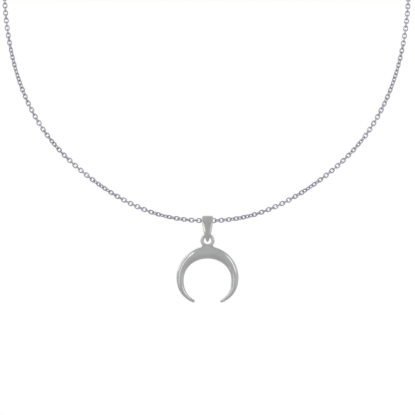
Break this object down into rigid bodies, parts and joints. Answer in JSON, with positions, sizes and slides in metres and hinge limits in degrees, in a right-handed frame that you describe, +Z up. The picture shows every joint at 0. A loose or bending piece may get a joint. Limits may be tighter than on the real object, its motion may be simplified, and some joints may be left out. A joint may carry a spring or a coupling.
{
  "type": "crescent moon pendant necklace",
  "caption": "Plump crescent moon with its horns pointing down, hung by a ring from a bevelled tapering bail on a fine oval-link trace chain with a plain barrel clasp.",
  "frame": {"origin": "top of the loop of chain, in the middle of the clasp, where the necklace rests on the nape", "axes": "+Z up, +X to the viewer's right, +Y away from the viewer, so that the moon's face looks along -Y"},
  "size_m": [0.1256, 0.0038, 0.1629],
  "materials": {
    "polished_silver": "polished sterling silver with fine handling marks",
    "chain_silver": "bright sterling silver wire"
  },
  "bodies": {
    "necklace": {"chain": "chain_silver", "clasp": "chain_silver"},
    "bail": {"bail": "polished_silver"},
    "moon": {"crescent": "polished_silver"}
  },
  "joints": [
    {"name": "bail_swing", "type": "hinge", "parent": "necklace", "child": "bail", "pos_m": [0, 0, -0.1366], "axis": [1, 0, 0], "range_deg": [-90, 90]},
    {"name": "moon_swing", "type": "hinge", "parent": "bail", "child": "moon", "pos_m": [0, 0, -0.14266], "axis": [0, 1, 0], "range_deg": [-60, 60]}
  ]
}
